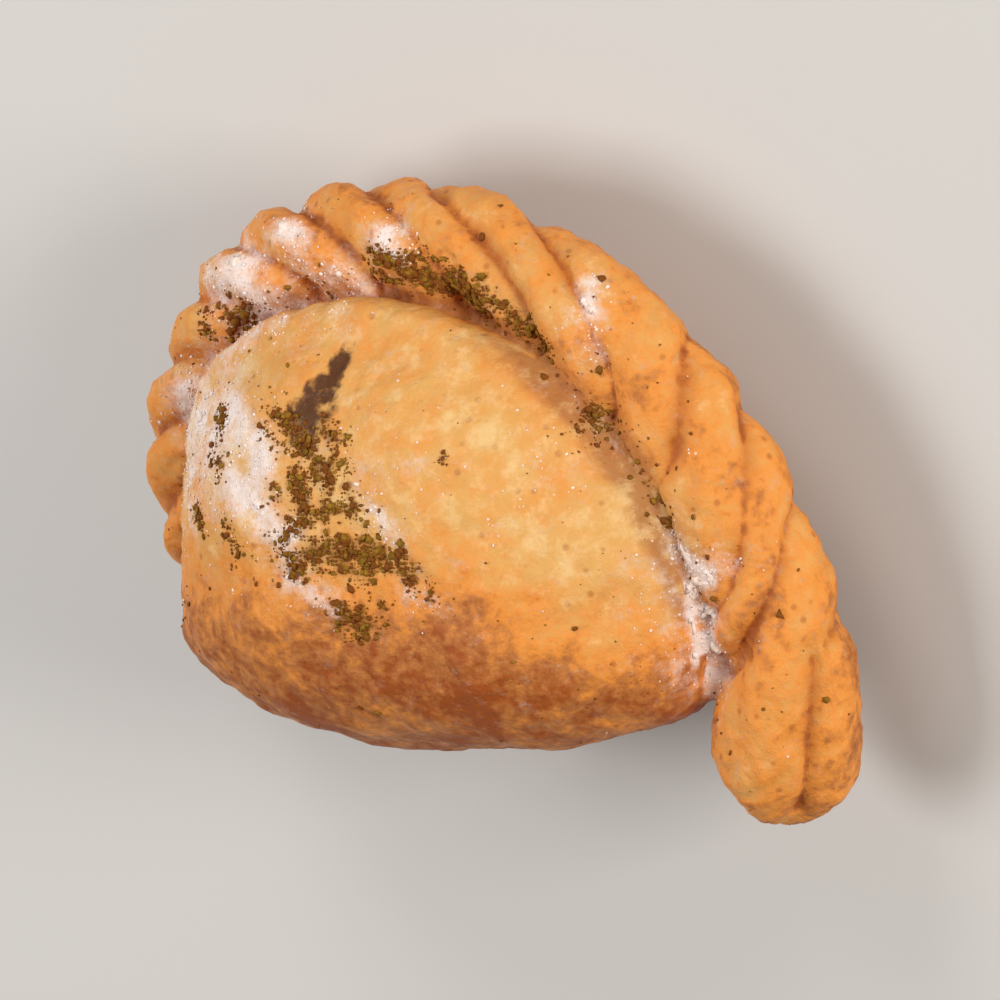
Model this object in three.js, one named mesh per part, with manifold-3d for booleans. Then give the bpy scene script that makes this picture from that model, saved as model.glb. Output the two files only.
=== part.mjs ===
// Ghotab: a half-moon pastry filled with ground nuts and fried. One round of dough is folded over its
// filling, so one long side is a plump fold, and the round side is shut by a twisted, rope-like seam.
// Millimetres. The pastry lies on its belly: X runs along the fold, Y from the fold to the top of the
// arch, Z up. The origin is under the middle of the pastry, on the surface that it rests on.

import * as THREE from "three";
import { mergeVertices } from "three/addons/utils/BufferGeometryUtils.js";
import Module from "manifold-3d";

// The seam's centre line is a half ellipse, straighter on its right shoulder and fuller on its left.
// Angles are in radians, anticlockwise from the right end of its chord.
const SEAM_HALF_CHORD = 24.6;
const SEAM_RISE = 26.2;
const SEAM_HEIGHT = 1;
const STRAIGHTER = { by: 0.016, at: 1.2, width: 0.5 };
const FULLER = { by: 0.04, at: 2.2, width: 0.5 };

// The rope runs past the right end of the chord as a fat tail, and its left end is small and tucked in.
// Each end leaves the ellipse between its two angles.
const TAIL_ANGLE = -0.53;
const END_ANGLE = Math.PI + 0.02;
const TAIL = { from: 0.9, to: -0.4, flare: 1 };
const END = { from: 0.78 * Math.PI, to: 1.05 * Math.PI, tuck: 0.4, drop: 2.4 };

// Section of the rope, which swells towards its tail and shrinks towards its other end between two
// shares of its length, and the pleats that are folded over along it, deeper near its other end.
const ROPE_HALF_WIDTH = 4.1;
const ROPE_HALF_HEIGHT = 3.8;
const SWELL = { by: 0.19, from: 0.34, to: 0 };
const SHRINK = { by: 0.22, from: 0.5, to: 1 };
const TIP_LENGTH = 5.8;
const PLEAT_DEPTH = { atTail: 0.8, atEnd: 1.4, from: 0.4, to: 0.8 };
const CREST_SHIFT = 0.8;
const CREST_BLUNTNESS = 0.5;

// The creases between pleats, from the tail to the other end: the distance along the rope where each
// crosses the rope's crown, and how far it leans along the rope there for each radian round it. The
// first and the last lie beyond the rope's tips. The crown's angle is measured from the outer edge.
const CROWN_ANGLE = 0.87;
const CREASES = [
  { at: -11, lean: 4.6 },
  { at: 16.4, lean: 4.6 },
  { at: 21.4, lean: 6 },
  { at: 29.2, lean: 3.4 },
  { at: 38.8, lean: 6.8 },
  { at: 46.3, lean: 6.8 },
  { at: 53, lean: 5 },
  { at: 59.5, lean: 4 },
  { at: 65.5, lean: 3.5 },
  { at: 71, lean: 3.2 },
  { at: 76.5, lean: 3 },
  { at: 82, lean: 3 },
  { at: 87.5, lean: 3 },
  { at: 92.5, lean: 3 },
  { at: 106, lean: 3 },
];

// The pocket of dough round the filling: a dome above the seam and a belly below it.
const POCKET_INSET = 3.1;
const FOLD_BOW = 8;
const FOLD_HEIGHT = 2.8;
const DOME_HEIGHT = 14.6;
const BELLY_DEPTH = 8.5;
const PEAK = { x: -2.8, y: 6.6 };
const RIM_RISE = { from: 0.35, to: -0.85 };
const DOME_POWER = 2.4;
const BELLY_POWER = 2.3;
const CORNER_POWER_LEFT = 1.9;
const CORNER_POWER_RIGHT = 3.2;

// The flat web of dough that joins the pocket to the rope, and how much of the belly is flattened.
const WEB_HALF_THICKNESS = 1.6;
const WEB_REACH = 0.96;
const BELLY_FLATTENED = 0.8;

// Mesh density: steps round and along the pocket and the web, and round the rope, and the most that
// may lie between two of its rows.
const POCKET_STEPS = [60, 28];
const WEB_STEPS = [48, 8];
const ROPE_STEPS = 24;
const ROW_SPACING = 1.05;

const CRUST = new THREE.MeshStandardMaterial({ color: 0xe3a05c, roughness: 0.62, metalness: 0 });

const { clamp, lerp, smoothstep } = THREE.MathUtils;
const share = (x, { from, to }) => smoothstep((x - from) / (to - from), 0, 1);
const bump = (x, { by, at, width }) => by * Math.exp(-(((x - at) / width) ** 2));

// How far the arch stands out from a true half ellipse, at an angle from the right end.
function archFactor(angle) {
  return 1 - bump(angle, STRAIGHTER) + bump(angle, FULLER);
}

// The centre line of the rope, from the tip of the tail on the right to the tucked end on the left.
class Seam extends THREE.Curve {
  getPoint(t) {
    return this.pointAtAngle(lerp(TAIL_ANGLE, END_ANGLE, t));
  }

  pointAtAngle(angle) {
    const tail = share(angle, TAIL);
    const end = share(angle, END);
    const factor = archFactor(angle);
    return new THREE.Vector3(
      SEAM_HALF_CHORD * factor * Math.cos(angle) + TAIL.flare * tail + END.tuck * end,
      SEAM_RISE * factor * Math.sin(angle),
      SEAM_HEIGHT - END.drop * end,
    );
  }
}

const seam = new Seam();

// Turns a grid whose vertices have been moved into a closed mesh of shared vertices, without the
// triangles that have shrunk to a line or a point.
function closeUp(geometry) {
  geometry.deleteAttribute("normal");
  geometry.deleteAttribute("uv");
  const merged = mergeVertices(geometry, 1e-4);
  const corners = merged.index.array;
  const kept = [];
  for (let i = 0; i < corners.length; i += 3) {
    const [a, b, c] = corners.subarray(i, i + 3);
    if (a !== b && b !== c && c !== a) kept.push(a, b, c);
  }
  merged.setIndex(kept);
  return merged;
}

// Moves every vertex of a grid to place(u, v), where u and v are its places across and up the grid.
function sculpt(grid, place) {
  const { position, uv } = grid.attributes;
  for (let i = 0; i < position.count; i += 1) {
    position.setXYZ(i, ...place(uv.getX(i), uv.getY(i)));
  }
  return closeUp(grid);
}

// Outline of the pocket in plan: the arch above the chord, and the fold, a superellipse, below it.
function pocketOutline(angle) {
  const cos = Math.cos(angle);
  const sin = Math.sin(angle);
  const halfWidth = SEAM_HALF_CHORD - POCKET_INSET;
  if (sin >= 0) {
    const factor = archFactor(angle);
    return [halfWidth * factor * cos, (SEAM_RISE - POCKET_INSET) * factor * sin];
  }
  const power = lerp(CORNER_POWER_LEFT, CORNER_POWER_RIGHT, 0.5 + 0.5 * cos);
  const reach = (Math.abs(cos / halfWidth) ** power + Math.abs(sin / FOLD_BOW) ** power) ** (-1 / power);
  return [reach * archFactor(cos > 0 ? 0 : Math.PI) * cos, reach * sin];
}

// The pocket: rings that grow from a pole at the bottom to the outline and shrink to a pole on top.
// Its rim rises from the seam's height to that of the fold.
function makePocket() {
  const sphere = new THREE.SphereGeometry(1, ...POCKET_STEPS);
  return sculpt(sphere, (u, v) => {
    const angle = 2 * Math.PI * u;
    const latitude = Math.PI * (v - 0.5);
    const reach = Math.cos(latitude);
    const [x, y] = pocketOutline(angle);
    const rimHeight = lerp(SEAM_HEIGHT, FOLD_HEIGHT, share(Math.sin(angle), RIM_RISE)) * reach ** 2;
    const power = latitude > 0 ? DOME_POWER : BELLY_POWER;
    const height = latitude > 0 ? DOME_HEIGHT : -BELLY_DEPTH;
    return [
      lerp(PEAK.x, x, reach),
      lerp(PEAK.y, y, reach),
      rimHeight + height * Math.sqrt(Math.max(1 - reach ** power, 0)),
    ];
  });
}

// The web: a flat disc with a blunt edge, which reaches into the rope, and into the pocket at the chord.
function makeWeb() {
  const sphere = new THREE.SphereGeometry(1, ...WEB_STEPS);
  return sculpt(sphere, (u, v) => {
    const angle = 2 * Math.PI * u;
    const latitude = Math.PI * (v - 0.5);
    const reach = Math.cos(latitude);
    const onArch = Math.sin(angle) >= 0;
    const rim = seam.pointAtAngle(onArch ? angle : Math.PI * (Math.cos(angle) < 0));
    const along = onArch ? 1 : Math.abs(Math.cos(angle));
    const thickness = WEB_HALF_THICKNESS * Math.sign(latitude) * Math.sqrt(Math.max(1 - reach ** 8, 0));
    return [
      WEB_REACH * rim.x * along * reach,
      lerp(PEAK.y, WEB_REACH * rim.y, reach),
      lerp(SEAM_HEIGHT, rim.z, reach) + thickness,
    ];
  });
}

// Profile across one pleat, 0 in the creases beside it and 1 on its crest, which lies off centre.
function pleatProfile(across) {
  const shifted = across ** CREST_SHIFT;
  return (4 * shifted * (1 - shifted)) ** CREST_BLUNTNESS;
}

// Distance along the rope for a place that may lie before its start: it slows down over the tip and
// stops at the start, so that the tip is as blunt as a sphere's pole.
function easeIntoTip(place) {
  const pastStart = clamp(place + TIP_LENGTH, 0, 2 * TIP_LENGTH);
  return pastStart ** 2 / (4 * TIP_LENGTH) + Math.max(place - TIP_LENGTH, 0);
}

// Distance along the rope at which a crease lies, at an angle round the rope from its outer edge.
function creasePlace({ at, lean }, turn) {
  return at - lean * Math.sin(turn - CROWN_ANGLE);
}

// Rows of the rope's grid: one in each crease, and evenly spaced ones across each pleat between them.
function makeRopeRows() {
  return CREASES.slice(1).flatMap((to, pleat) => {
    const from = CREASES[pleat];
    const steps = Math.ceil((to.at - from.at) / ROW_SPACING);
    return Array.from({ length: steps }, (_, step) => ({ from, to, across: step / steps }));
  });
}

// The rope: an elliptical tube along the seam. Its grid leans with the creases, so that a grid line
// lies in each. It starts and ends beyond the tube, where its vertices gather at the two tips.
function makeRope() {
  const length = seam.getLength();
  const rows = makeRopeRows();
  const grid = new THREE.PlaneGeometry(1, 1, ROPE_STEPS, rows.length - 1);
  return sculpt(grid, (u, v) => {
    const { from, to, across } = rows[Math.round(v * (rows.length - 1))];
    const turn = -2 * Math.PI * u;
    const place = lerp(creasePlace(from, turn), creasePlace(to, turn), across);
    const distance = place < length / 2 ? easeIntoTip(place) : length - easeIntoTip(length - place);
    const along = distance / length;
    const centre = seam.getPointAt(along);
    const tangent = seam.getTangentAt(along).setZ(0).normalize();
    const toTip = Math.min(distance, length - distance, TIP_LENGTH) / TIP_LENGTH;
    const rounding = Math.sqrt(1 - (1 - toTip) ** 2);
    const size = 1 + SWELL.by * share(along, SWELL) - SHRINK.by * share(along, SHRINK);
    const depth = lerp(PLEAT_DEPTH.atTail, PLEAT_DEPTH.atEnd, share(along, PLEAT_DEPTH));
    const crease = depth * (1 - pleatProfile(across));
    const outward = (ROPE_HALF_WIDTH * size - crease) * rounding * Math.cos(turn);
    const upward = (ROPE_HALF_HEIGHT * size - crease) * rounding * Math.sin(turn);
    return [centre.x + tangent.y * outward, centre.y - tangent.x * outward, centre.z + upward];
  });
}

// Everything below the level that the belly is flattened to.
function makeRestingBlock() {
  const size = 200;
  const block = new THREE.BoxGeometry(size, size, size);
  block.translate(0, 0, BELLY_FLATTENED - BELLY_DEPTH - size / 2);
  return closeUp(block);
}

const wasm = await Module();
wasm.setup();

function toSolid(geometry) {
  const mesh = new wasm.Mesh({
    numProp: 3,
    vertProperties: new Float32Array(geometry.attributes.position.array),
    triVerts: new Uint32Array(geometry.index.array),
  });
  return new wasm.Manifold(mesh);
}

function toGeometry(solid) {
  const { vertProperties, triVerts } = solid.getMesh();
  const geometry = new THREE.BufferGeometry();
  geometry.setAttribute("position", new THREE.BufferAttribute(vertProperties, 3));
  geometry.setIndex(new THREE.BufferAttribute(triVerts, 1));
  return geometry;
}

function makePastry() {
  const solid = toSolid(makePocket())
    .add(toSolid(makeWeb()))
    .add(toSolid(makeRope()))
    .subtract(toSolid(makeRestingBlock()));
  const geometry = toGeometry(solid);
  geometry.computeBoundingBox();
  const { min, max } = geometry.boundingBox;
  geometry.translate(-(min.x + max.x) / 2, -(min.y + max.y) / 2, -min.z);
  geometry.computeVertexNormals();
  return geometry;
}

const pastry = new THREE.Mesh(makePastry(), CRUST);
pastry.name = "ghotab";

const group = new THREE.Group();
group.add(pastry);

export default group;
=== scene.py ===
"""Ghotab: a fried half-moon pastry with a rope-like seam, icing sugar and ground pistachio.

The file is laid out as an add-on and is run as a script. It builds the finished surface of the
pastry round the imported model, its two toppings, and a plain studio to see it in.
"""

import math
from itertools import combinations

import bpy
import numpy as np
from mathutils import Matrix, Vector


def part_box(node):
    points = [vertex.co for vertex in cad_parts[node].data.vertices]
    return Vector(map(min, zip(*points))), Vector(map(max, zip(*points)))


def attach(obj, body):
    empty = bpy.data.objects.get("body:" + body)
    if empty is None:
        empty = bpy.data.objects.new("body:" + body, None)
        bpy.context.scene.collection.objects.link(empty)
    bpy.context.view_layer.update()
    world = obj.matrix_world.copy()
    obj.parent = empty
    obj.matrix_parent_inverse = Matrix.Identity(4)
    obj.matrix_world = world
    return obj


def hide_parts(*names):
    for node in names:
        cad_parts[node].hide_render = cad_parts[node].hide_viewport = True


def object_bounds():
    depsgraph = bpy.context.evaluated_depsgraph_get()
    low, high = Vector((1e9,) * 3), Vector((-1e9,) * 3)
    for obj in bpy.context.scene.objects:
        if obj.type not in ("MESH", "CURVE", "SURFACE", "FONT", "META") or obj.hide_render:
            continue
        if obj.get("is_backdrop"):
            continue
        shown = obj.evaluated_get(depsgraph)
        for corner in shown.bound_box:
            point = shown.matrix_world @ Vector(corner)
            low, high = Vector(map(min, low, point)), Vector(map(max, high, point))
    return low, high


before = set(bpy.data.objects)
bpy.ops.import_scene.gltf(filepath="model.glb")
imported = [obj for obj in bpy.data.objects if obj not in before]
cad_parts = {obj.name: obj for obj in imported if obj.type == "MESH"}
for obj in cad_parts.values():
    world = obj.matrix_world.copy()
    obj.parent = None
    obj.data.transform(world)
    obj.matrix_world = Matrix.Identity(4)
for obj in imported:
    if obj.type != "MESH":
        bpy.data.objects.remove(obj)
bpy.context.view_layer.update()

bl_info = {
    "name": "Ghotab",
    "version": (1, 0, 0),
    "blender": (4, 5, 0),
    "location": "3D View > Sidebar > Ghotab",
    "description": "Builds a fried half-moon pastry with icing sugar and ground pistachio",
    "category": "Add Mesh",
}

NODE = "ghotab"
BODY = "root"
MM = 0.001
TURN = 2 * math.pi

# Angles round the seam are in radians, anticlockwise from the right end of its chord.
STRAIGHT_SHOULDER = (0.016, 1.2, 0.5)
FULL_SHOULDER = (0.04, 2.2, 0.5)
TAIL_ANGLE = -0.53
END_ANGLE = math.pi + 0.02
TAIL_SPAN = (0.9, -0.4)
END_SPAN = (0.78 * math.pi, 1.05 * math.pi)
SWELL_SPAN = (0.34, 0.0)
SHRINK_SPAN = (0.5, 1.0)
RIM_RISE_SPAN = (0.35, -0.85)
PLEAT_DEPTH_SPAN = (0.4, 0.8)

# The creases between pleats: distance along the rope at its crown and lean there for each radian round
# the rope, in millimetres. The first and the last lie beyond the tips.
CROWN_ANGLE = 0.87
CREASES = (
    (-11.0, 4.6), (16.4, 4.6), (21.4, 6.0), (29.2, 3.4), (38.8, 6.8), (46.3, 6.8), (53.0, 5.0),
    (59.5, 4.0), (65.5, 3.5), (71.0, 3.2), (76.5, 3.0), (82.0, 3.0), (87.5, 3.0), (92.5, 3.0),
    (106.0, 3.0),
)

# Folds within the tail's pleat, its split and a short one on either side, by distance along and round
# the rope in millimetres.
TAIL_FOLDS = (
    ((11.6, 2.0), (9.4, 2.6), (7.2, 3.0), (5.0, 3.1), (2.4, 2.8)),
    ((12.4, 7.8), (11.4, 9.6), (10.6, 11.6)),
    ((13.4, -3.4), (12.4, 0.4)),
)
PEAK = (-2.8 * MM, 6.6 * MM)
DOME_POWER = 2.4
BELLY_POWER = 2.3
CORNER_POWER_LEFT = 1.9
CORNER_POWER_RIGHT = 3.2
WEB_POWER = 8
WEB_REACH = 0.96
PLEAT_SKEW = 0.8
PLEAT_POWER = 0.5

# Steps of the three grids, round and up, the rope's up for each pleat, and steps of the seam's line.
# Points are matched to every tenth of the line's steps, so many points at a time.
POCKET_GRID = (440, 220)
WEB_GRID = (360, 60)
ROPE_GRID = (140, 48)
SEAM_STEPS = 3000
COARSE_STEP = 10
BATCH = 4000

# Where the skin starts and ends to count as rope, by its gap from it, as topside, by the sine of the
# angle round the rope, as the arch's inner side, by the distance across it, and as its top and left, by
# the share of its length.
ROPE_EDGE = (0.1 * MM, 1.1 * MM)
TOPSIDE_SPAN = (-0.7, -0.1)
INNER_SIDE_SPAN = (0.5 * MM, -2.5 * MM)
TOP_LEFT_SPAN = (0.36, 0.52)

# Rounds of averaging: the whole skin, the groove, and the neighbourhoods that tell a hollow. How softly
# the skin comes to rest on the floor.
SMOOTH_ROUNDS = 5
FILL_ROUNDS = 104
HOLLOW_ROUNDS = 12
WIDE_HOLLOW_ROUNDS = 52
FLOOR_SOFTNESS = 0.3 * MM

# Noises: wavelength in metres, or 1 where the place is already in cells, seed, and number of layers. The
# gain brings them to about -1 to 1.
NOISE_GAIN = 1.6
NOISES = {
    "lumps": (9 * MM, 11, 2),
    "blisters": (3.0 * MM, 21, 1),
    "pits": (1.5 * MM, 25, 1),
    "grain": (1.3 * MM, 31, 2),
    "knobs": (3.4 * MM, 35, 2),
    "folds": (1.0, 41, 2),
    "creases": (4 * MM, 45, 1),
    "lines": (3.5 * MM, 47, 1),
    "puckers": (1.0, 61, 1),
    "scar": (1.0 * MM, 71, 2),
    "sugar": (2.0 * MM, 81, 3),
    "mottle": (7 * MM, 91, 3),
    "crumbs": (1.5 * MM, 101, 2),
    "clumps": (1.2 * MM, 111, 4),
}
PLEAT_SEED = 51
SUGAR_SEED = 7
PISTACHIO_SEED = 17

# Relief: heights, depths and widths. Cells are wavelengths of stretched noises. Bell curves over the gap
# beside the rope, or over the share of the way along it, are height, centre and width.
PIT_DEPTH = 0.12 * MM
KNOB_HEIGHT = 0.2 * MM
FOLD_HEIGHT = 0.16 * MM
FOLD_CELL = (1.5 * MM, 6 * MM, 3.7)
PLEAT_LIFT = (-0.25, 0.35)  # least and most, in millimetres
TAIL_FOLD_DEPTH = 0.9 * MM
TAIL_FOLD_WIDTH = 1.2 * MM
TAIL_FOLD_POWER = 1.6
CREASE_DEPTH = 0.52 * MM
CREASE_WIDTH = 0.85 * MM
PUCKER_HEIGHT = 0.26 * MM
PUCKER_CELL = (2.3 * MM, 6 * MM)
PUCKER_SPAN = (1.0 * MM, 6.0 * MM)
SCAR_DEPTH = 0.2 * MM
SCAR_WIDTH = (2.15, 1.1)  # at its near end, and what it loses by its far one, in millimetres
FILLED_GROOVE = (1.0, 0.8 * MM, 1.7 * MM)
TOP_GROOVE = (0.3 * MM, 0.5 * MM, 0.7 * MM)
SHOULDER = (1.1 * MM, 2.6 * MM, 2.0 * MM)
OVERHANG_SPAN = (0.10, 0.17)
OVERHANG_HEIGHT = 0.35  # in millimetres, like the peak's
OVERHANG_PEAK = (0.45, 0.27, 0.05)

# Browning and painted shade: heights above the floor that darken, the flank under the fold, darkened
# partly as painted shade, which starts lower on the right and has a ragged edge, the share of the rope
# that counts as tail, the dome's top that is clear of haze, bell curves of the dull colour, partly
# painted shade, along the groove, and the width of the painted shade lines along creases.
LOW_SPAN = (1 * MM, 10 * MM)
FLANK_SPAN = (12 * MM, -0.5 * MM)
FLANK_DROP = 6 * MM
FLANK_DROP_SPAN = (9 * MM, 19 * MM)
FLANK_RAGGED = 1.2 * MM
TAIL_TOAST_SPAN = (0.22, 0.05)
CLEAR_TOP_SPAN = (14 * MM, 19 * MM)
TOP_DULL_AND_SHADE = (1.0, 0.6 * MM, 1.0 * MM)
RIGHT_DULL_AND_SHADE = (1.2, 1.4 * MM, 1.7 * MM)
RIGHT_DULL_AND_SHADE_SPAN = (0.13, 0.19)
CREASE_SHADE_WIDTH = 0.8 * MM

# Toppings: the streak of sugar in the groove, where along the rope it starts and ends, how much wider
# the film of sugar and the crumbs spread than their drifts, and how many crumbs lie in the groove and
# anywhere. How deep the sugar layer's edge and sole are sunk, the radius of a grain, the powder's size
# next to the crumbs', and how far the bits are stretched and moved.
STREAK = (1.3, 0.8 * MM, 1.0 * MM)
STREAK_START = (0.06, 0.10)
STREAK_END = (0.24, 0.17)
FILM_SPREAD = 1.9
CRUMB_SPREAD = 1.15
GROOVE_CRUMBS = 0.006
GROOVE_CRUMB_SPAN = (0.12, 0.22)
STRAY_CRUMBS = 0.0004
STRAY_GRAINS = 0.0008
SUGAR_EDGE_SUNK = 0.06 * MM
SUGAR_SOLE_SUNK = 0.14 * MM
GRAIN_SIZE = 0.058 * MM
POWDER_SHARE = 0.4
BIT_STRETCH = (0.7, 1.35)
BIT_JITTER = 0.1 * MM

# Where the toppings lie: places in plan in seam coordinates, in millimetres, then the half width of
# the drift and its share of the full depth or number.
SUGAR_DRIFTS = (
    (((-10.2, 16.8), (-6.8, 15.5), (-6.0, 14.1)), 0.85, 1.35),
    (((-9.1, 12.7), (-6.6, 11.3), (-5.1, 9.8), (-3.6, 9.4)), 0.9, 1.05),
    (((-15.6, 23.8), (-12.9, 24.4), (-11.2, 21.9), (-13.1, 20.6)), 1.1, 1.1),
    (((-17.2, 17.6), (-18.5, 15.9), (-12.2, 15.2)), 1.5, 0.8),
    (((-19.8, 14.4), (-16.0, 12.5), (-14.8, 10.2)), 1.5, 0.5),
    (((-11.5, 19.6), (-9.5, 21.2), (-6.0, 22.1)), 1.0, 0.3),
    (((-13.2, 25.7), (-11.2, 24.9)), 0.8, 0.6),
    (((-8.3, 27.6), (-7.1, 26.7)), 0.9, 1.0),
    (((-7.2, 24.1), (-3.7, 24.8), (-2.4, 22.9)), 1.0, 0.5),
    (((0.4, 27.5), (1.4, 26.4)), 0.8, 1.0),
    (((20.9, 6.8), (21.9, 4.0), (21.7, 1.0), (21.0, -3.0)), 0.8, 0.6),
    (((22.8, 4.4), (24.6, 5.3)), 0.6, 0.9),
    (((16.1, 23.4), (16.7, 19.7)), 0.8, 0.65),
    (((-4.2, 6.5), (-0.9, 4.9)), 0.9, 0.55),
    (((3.2, 11.5), (5.3, 8.9)), 0.7, 0.5),
    (((5.2, 5.7), (7.0, 4.8)), 0.6, 0.45),
)
CRUMB_DRIFTS = (
    (((0.1, 25.5), (3.0, 25.1), (4.6, 24.2), (7.5, 23.2)), 0.75, 1.4),
    (((7.9, 22.3), (10.4, 21.6), (12.4, 20.1)), 0.6, 0.65),
    (((-5.3, 16.6), (-2.9, 15.9), (-1.7, 14.9)), 0.8, 0.5),
    (((-0.8, 15.9), (0.8, 15.6), (-0.6, 14.2)), 0.7, 0.3),
    (((-3.2, 12.7), (-1.2, 11.5), (0.7, 11.1), (-0.1, 13.4)), 1.1, 0.5),
    (((-3.1, 9.0), (-0.5, 9.1), (1.3, 8.3), (2.8, 8.2)), 1.1, 0.75),
    (((-4.5, 7.3), (-2.4, 7.4)), 0.7, 0.5),
    (((0.2, 4.9), (1.4, 3.6)), 0.9, 0.9),
    (((5.1, 7.6), (7.0, 5.7)), 0.6, 0.5),
    (((2.3, 5.8), (3.2, 4.9)), 0.5, 0.45),
    (((-15.7, 21.1), (-13.8, 21.6)), 0.8, 0.5),
    (((-11.7, 16.2), (-11.4, 15.8)), 0.6, 0.4),
    (((-10.9, 14.0), (-10.6, 13.6)), 0.6, 0.4),
    (((-12.9, 10.2), (-12.5, 9.9)), 0.45, 0.7),
    (((-9.3, 9.5), (-7.8, 7.6)), 0.6, 0.35),
    (((16.7, 18.7), (16.7, 18.4)), 0.4, 0.25),
    (((15.6, 15.0), (16.2, 14.3)), 0.5, 0.45),
    (((20.0, 8.7), (20.3, 7.7)), 0.4, 0.3),
    (((8.4, 14.1), (8.5, 14.1)), 0.22, 1.0),
)
SCAR = ((-2.6, 16.9), (-1.8, 18.6), (-1.1, 20.3))

# Soft lights: azimuth from +X towards +Y and elevation in degrees, size in metres, watts, tint.
LIGHT_DISTANCE = 0.5
WORLD_TINT = (1.0, 0.94, 0.89, 1.0)
WORLD_STRENGTH = 0.18
FLOOR_HALF = 0.6
CLIP_NEAR, CLIP_FAR = 0.01, 10
LIGHTS = (
    ("key_light", 6, 20, 0.16, 1.88, (1.0, 0.96, 0.89)),
    ("top_light", 172, 55, 0.24, 1.45, (1.0, 0.98, 0.96)),
    ("side_light", 90, 28, 0.22, 0.75, (1.0, 0.96, 0.91)),
)


# ---- settings

def length(name, default, description):
    """A length property in metres."""
    return bpy.props.FloatProperty(
        name=name, description=description, default=default, precision=5, unit="LENGTH"
    )


def colour(name, default, description):
    """A colour property, linear red, green and blue."""
    return bpy.props.FloatVectorProperty(
        name=name, description=description, default=default, size=3, min=0, max=1, subtype="COLOR"
    )


def factor(name, default, description):
    """A plain number from 0 to 1."""
    return bpy.props.FloatProperty(
        name=name, description=description, default=default, min=0, max=1, subtype="FACTOR"
    )


def whole(name, default, description):
    """How many of something."""
    return bpy.props.IntProperty(name=name, description=description, default=default, min=0)


def turned(name, degrees, description):
    """An angle property, given in degrees."""
    return bpy.props.FloatProperty(
        name=name, description=description, default=math.radians(degrees), subtype="ANGLE"
    )


class GhotabShape(bpy.types.PropertyGroup):
    """Sizes of the pastry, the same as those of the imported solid."""

    seam_half_chord: length("Half chord", 24.6 * MM, "Half the width of the rope's centre line")
    seam_rise: length("Rise", 26.2 * MM, "Height of the rope's arch above its chord")
    seam_height: length("Seam height", 1.0 * MM, "Level of the rope in seam coordinates")
    tail_flare: length("Tail flare", 1.0 * MM, "How far the tail stands out to the right")
    end_tuck: length("End tuck", 0.4 * MM, "How far the left end is tucked in")
    end_drop: length("End drop", 2.4 * MM, "How far the left end drops")
    rope_half_width: length("Rope half width", 4.1 * MM, "Half width of the rope in plan")
    rope_half_height: length("Rope half height", 3.8 * MM, "Half height of the rope")
    tip_length: length("Tip length", 5.8 * MM, "Length over which the rope rounds off")
    pleat_depth_tail: length("Pleat depth at tail", 0.8 * MM, "Depth of the creases near the tail")
    pleat_depth_end: length("Pleat depth at end", 1.4 * MM, "Depth of the creases near the other end")
    tail_swell: factor("Tail swell", 0.19, "How much fatter the rope is at its tail")
    end_shrink: factor("End shrink", 0.22, "How much thinner the rope is at its other end")
    pocket_inset: length("Pocket inset", 3.1 * MM, "Distance from the rope's middle to the pocket")
    fold_bow: length("Fold bow", 8.0 * MM, "How far the fold bulges past the chord")
    fold_height: length("Fold height", 2.8 * MM, "Level of the rim along the fold")
    dome_height: length("Dome height", 14.6 * MM, "Height of the dome above the seam")
    belly_depth: length("Belly depth", 8.5 * MM, "Depth of the belly below the seam")
    belly_flattened: length("Belly flattened", 0.8 * MM, "Height of the belly that is pressed flat")
    web_half_thickness: length("Web half thickness", 1.6 * MM, "Half thickness of the seam's web")
    voxel: length("Detail size", 0.28 * MM, "Edge length of the finished mesh")


class GhotabCrust(bpy.types.PropertyGroup):
    """Colours and relief of the fried crust; some of the colours are also laid on as painted shade."""

    pale: colour("Pale", (0.84, 0.59, 0.275), "Faint pale spots in the dough")
    golden: colour("Golden", (0.73, 0.388, 0.112), "Lightly fried dough on the dome")
    amber: colour("Amber", (0.81, 0.288, 0.048), "Well fried dough on the rope")
    # Russet and toasted show where the stored browning is high, which includes painted shade on the flank
    # and in hollows.
    russet: colour("Russet", (0.50, 0.172, 0.042), "Dough fried darker along the fold")
    # Toasted is also laid in hollows and along creases as painted shade.
    toasted_and_shade: colour("Toasted", (0.36, 0.082, 0.012), "Dark patches, scars and contact marks")
    # The groove colour is partly the dough's own dull brown and partly painted shade in the groove.
    groove: colour("Groove", (0.37, 0.145, 0.052), "Dull dough in the groove beside the rope")
    scar: colour("Scar", (0.075, 0.022, 0.008), "Dark smear on the dome")
    stain: colour("Stain", (0.33, 0.125, 0.018), "Dough under the finest bits of pistachio")
    lump_height: length("Lump height", 0.45 * MM, "Height of the uneven lumps of the filling")
    blister_height: length("Blister height", 0.3 * MM, "Height of the fried blisters")
    grain_height: length("Grain height", 0.12 * MM, "Height of the fine roughness")


class GhotabToppings(bpy.types.PropertyGroup):
    """Icing sugar and ground pistachio."""

    sugar: colour("Sugar", (0.92, 0.83, 0.81), "Icing sugar")
    sugar_depth: length("Sugar depth", 0.24 * MM, "Depth of the sugar where it lies thickest")
    sugar_fill: length("Sugar fill", 0.22 * MM, "Further depth of the sugar in hollows")
    grain_count: whole("Loose grains", 3200, "Number of loose crumbs of sugar")
    crumb_count: whole("Crumbs", 1250, "Number of pistachio crumbs")
    powder_count: whole("Powder", 4600, "Number of the finest bits of pistachio")
    crumb_size: length("Crumb size", 0.155 * MM, "Mean radius of a pistachio crumb")
    kernel: colour("Kernel", (0.23, 0.115, 0.013), "Green inside of the nut")
    skin: colour("Skin", (0.21, 0.066, 0.011), "Brown skin of the nut")


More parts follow.
